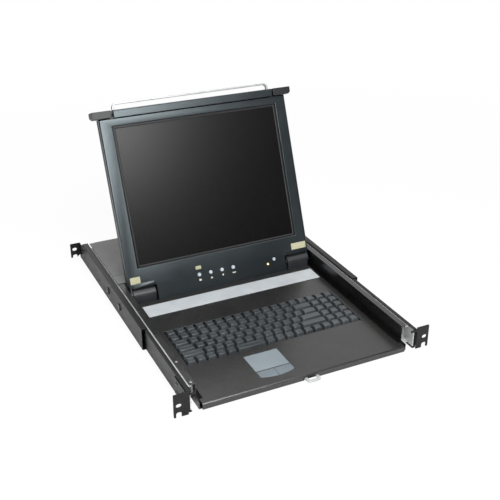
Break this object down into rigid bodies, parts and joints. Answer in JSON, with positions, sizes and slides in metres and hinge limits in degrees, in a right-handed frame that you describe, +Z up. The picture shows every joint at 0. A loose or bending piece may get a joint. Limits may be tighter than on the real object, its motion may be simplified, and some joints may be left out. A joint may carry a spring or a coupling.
{
  "type": "rackmount lcd console drawer",
  "caption": "One-unit sliding rack tray with a keyboard, touchpad and a fold-down display on telescopic slides, with front ears and adjustable rear brackets.",
  "frame": {"origin": "midway between the middle holes of the two front ears, on the back faces of the ears, which lie against the rack's front posts", "axes": "+X to the right as seen from the front, +Y back into the rack, +Z up"},
  "size_m": [0.4826, 0.62, 0.3652],
  "materials": {
    "black_steel": "satin black paint",
    "zinc_steel": "zinc plated",
    "tray_paint": "matt black paint",
    "cover_paint": "satin black paint",
    "deck_plastic": "fine grain",
    "key_plastic": "fine grain",
    "pad_plastic": "smooth",
    "bright_plate": "brushed",
    "pull_metal": "satin",
    "port_plastic": "moulded",
    "supply_steel": "folded sheet",
    "board_green": "lacquered",
    "hinge_metal": "black paint",
    "lid_plastic": "fine grain",
    "lid_metal": "black coating",
    "screen": "anti-glare",
    "button_plastic": "moulded",
    "lamp_lens": "clear lens",
    "pad_yellow": "soft"
  },
  "bodies": {
    "rack_frame": {"rail_left": "black_steel", "rail_right": "black_steel", "front_ear_left": "black_steel", "front_ear_right": "black_steel", "slide_outer_left": "zinc_steel", "slide_outer_right": "zinc_steel", "slide_spacers": "zinc_steel"},
    "outer_ball_cages": {"outer_ball_cages": "zinc_steel"},
    "slide_middles": {"slide_middle_left": "zinc_steel", "slide_middle_right": "zinc_steel"},
    "inner_ball_cages": {"inner_ball_cages": "zinc_steel"},
    "drawer": {"slide_inner_left": "zinc_steel", "slide_inner_right": "zinc_steel", "tray_pan": "tray_paint", "keyboard_deck": "deck_plastic", "key_plate": "deck_plastic", "touchpad": "pad_plastic", "bright_strip": "bright_plate", "pull_tab": "pull_metal", "hinge_cover": "cover_paint", "chassis_cover": "cover_paint", "rear_panel": "tray_paint", "power_inlet": "port_plastic", "rear_ports": "port_plastic", "power_supply": "supply_steel", "main_board": "board_green", "hinge_block_left": "hinge_metal", "hinge_block_right": "hinge_metal"},
    "lid": {"lid_bezel": "lid_plastic", "lid_rear_cover": "lid_metal", "lcd_panel": "screen", "display_board": "board_green", "lid_front_bar": "lid_plastic", "lid_handle": "pull_metal", "hinge_arm_left": "hinge_metal", "hinge_arm_right": "hinge_metal", "corner_pads": "pad_yellow", "status_lamp": "lamp_lens"},
    "power_switch": {"power_switch": "port_plastic"},
    "rear_bracket_left": {"rear_bracket_left": "black_steel", "bracket_clamp_left": "zinc_steel"},
    "rear_bracket_right": {"rear_bracket_right": "black_steel", "bracket_clamp_right": "zinc_steel"},
    "key_row_bottom": {"key_row_bottom": "key_plastic"},
    "space_bar": {"space_bar": "key_plastic"},
    "key_row_lower": {"key_row_lower": "key_plastic"},
    "key_row_home": {"key_row_home": "key_plastic"},
    "key_row_upper": {"key_row_upper": "key_plastic"},
    "key_row_number": {"key_row_number": "key_plastic"},
    "key_row_function": {"key_row_function": "key_plastic"},
    "side_keys": {"side_keys": "key_plastic"},
    "touchpad_button_left": {"touchpad_button_left": "pad_plastic"},
    "touchpad_button_right": {"touchpad_button_right": "pad_plastic"},
    "catch_left": {"catch_left": "lid_plastic"},
    "catch_right": {"catch_right": "lid_plastic"},
    "osd_button_1": {"osd_button_1": "button_plastic"},
    "osd_button_2": {"osd_button_2": "button_plastic"},
    "osd_button_3": {"osd_button_3": "button_plastic"},
    "osd_button_4": {"osd_button_4": "button_plastic"},
    "display_switch": {"display_switch": "button_plastic"}
  },
  "joints": [
    {"name": "drawer_slide", "type": "slide", "parent": "rack_frame", "child": "drawer", "axis": [0, -1, 0], "range_m": [0, 0.4]},
    {"name": "middle_slide", "type": "slide", "parent": "rack_frame", "child": "slide_middles", "axis": [0, -1, 0], "range_m": [0, 0.2]},
    {"name": "outer_cage_roll", "type": "slide", "parent": "rack_frame", "child": "outer_ball_cages", "axis": [0, -1, 0], "range_m": [0, 0.1]},
    {"name": "inner_cage_roll", "type": "slide", "parent": "rack_frame", "child": "inner_ball_cages", "axis": [0, -1, 0], "range_m": [0, 0.3]},
    {"name": "lid_hinge", "type": "hinge", "parent": "drawer", "child": "lid", "pos_m": [0, 0.3517, 0.0044], "axis": [1, 0, 0], "range_deg": [-8.35, 111.65]},
    {"name": "catch_left_press", "type": "slide", "parent": "lid", "child": "catch_left", "axis": [1, 0, 0], "range_m": [0, 0.004], "stiffness_N_per_m": 600, "springref_m": -0.002},
    {"name": "catch_right_press", "type": "slide", "parent": "lid", "child": "catch_right", "axis": [-1, 0, 0], "range_m": [0, 0.004], "stiffness_N_per_m": 600, "springref_m": -0.002},
    {"name": "osd_button_1_press", "type": "slide", "parent": "lid", "child": "osd_button_1", "axis": [0, 0.9295, -0.3689], "range_m": [0, 0.0006], "stiffness_N_per_m": 900, "springref_m": -0.0004},
    {"name": "osd_button_2_press", "type": "slide", "parent": "lid", "child": "osd_button_2", "axis": [0, 0.9295, -0.3689], "range_m": [0, 0.0006], "stiffness_N_per_m": 900, "springref_m": -0.0004},
    {"name": "osd_button_3_press", "type": "slide", "parent": "lid", "child": "osd_button_3", "axis": [0, 0.9295, -0.3689], "range_m": [0, 0.0006], "stiffness_N_per_m": 900, "springref_m": -0.0004},
    {"name": "osd_button_4_press", "type": "slide", "parent": "lid", "child": "osd_button_4", "axis": [0, 0.9295, -0.3689], "range_m": [0, 0.0006], "stiffness_N_per_m": 900, "springref_m": -0.0004},
    {"name": "display_switch_press", "type": "slide", "parent": "lid", "child": "display_switch", "axis": [0, 0.9295, -0.3689], "range_m": [0, 0.0006], "stiffness_N_per_m": 900, "springref_m": -0.0004},
    {"name": "key_row_bottom_press", "type": "slide", "parent": "drawer", "child": "key_row_bottom", "axis": [0, 0, -1], "range_m": [0, 0.0025], "stiffness_N_per_m": 900, "springref_m": -0.0008},
    {"name": "space_bar_press", "type": "slide", "parent": "drawer", "child": "space_bar", "axis": [0, 0, -1], "range_m": [0, 0.0025], "stiffness_N_per_m": 900, "springref_m": -0.0008},
    {"name": "key_row_lower_press", "type": "slide", "parent": "drawer", "child": "key_row_lower", "axis": [0, 0, -1], "range_m": [0, 0.0025], "stiffness_N_per_m": 900, "springref_m": -0.0008},
    {"name": "key_row_home_press", "type": "slide", "parent": "drawer", "child": "key_row_home", "axis": [0, 0, -1], "range_m": [0, 0.0025], "stiffness_N_per_m": 900, "springref_m": -0.0008},
    {"name": "key_row_upper_press", "type": "slide", "parent": "drawer", "child": "key_row_upper", "axis": [0, 0, -1], "range_m": [0, 0.0025], "stiffness_N_per_m": 900, "springref_m": -0.0008},
    {"name": "key_row_number_press", "type": "slide", "parent": "drawer", "child": "key_row_number", "axis": [0, 0, -1], "range_m": [0, 0.0025], "stiffness_N_per_m": 900, "springref_m": -0.0008},
    {"name": "key_row_function_press", "type": "slide", "parent": "drawer", "child": "key_row_function", "axis": [0, 0, -1], "range_m": [0, 0.0025], "stiffness_N_per_m": 900, "springref_m": -0.0008},
    {"name": "side_keys_press", "type": "slide", "parent": "drawer", "child": "side_keys", "axis": [0, 0, -1], "range_m": [0, 0.0025], "stiffness_N_per_m": 900, "springref_m": -0.0008},
    {"name": "touchpad_button_left_press", "type": "slide", "parent": "drawer", "child": "touchpad_button_left", "axis": [0, 0, -1], "range_m": [0, 0.0008], "stiffness_N_per_m": 900, "springref_m": -0.0004},
    {"name": "touchpad_button_right_press", "type": "slide", "parent": "drawer", "child": "touchpad_button_right", "axis": [0, 0, -1], "range_m": [0, 0.0008], "stiffness_N_per_m": 900, "springref_m": -0.0004},
    {"name": "power_switch_rock", "type": "hinge", "parent": "drawer", "child": "power_switch", "pos_m": [0.112, 0.5713, -0.0018], "axis": [-1, 0, 0], "range_deg": [0, 11]},
    {"name": "rear_bracket_left_slide", "type": "slide", "parent": "rack_frame", "child": "rear_bracket_left", "axis": [0, 1, 0], "range_m": [-0.018, 0.138]},
    {"name": "rear_bracket_right_slide", "type": "slide", "parent": "rack_frame", "child": "rear_bracket_right", "axis": [0, 1, 0], "range_m": [-0.018, 0.138]}
  ],
  "couplings": [
    {"joint": "middle_slide", "follows": "drawer_slide", "ratio": 0.5},
    {"joint": "outer_cage_roll", "follows": "drawer_slide", "ratio": 0.25},
    {"joint": "inner_cage_roll", "follows": "drawer_slide", "ratio": 0.75}
  ]
}
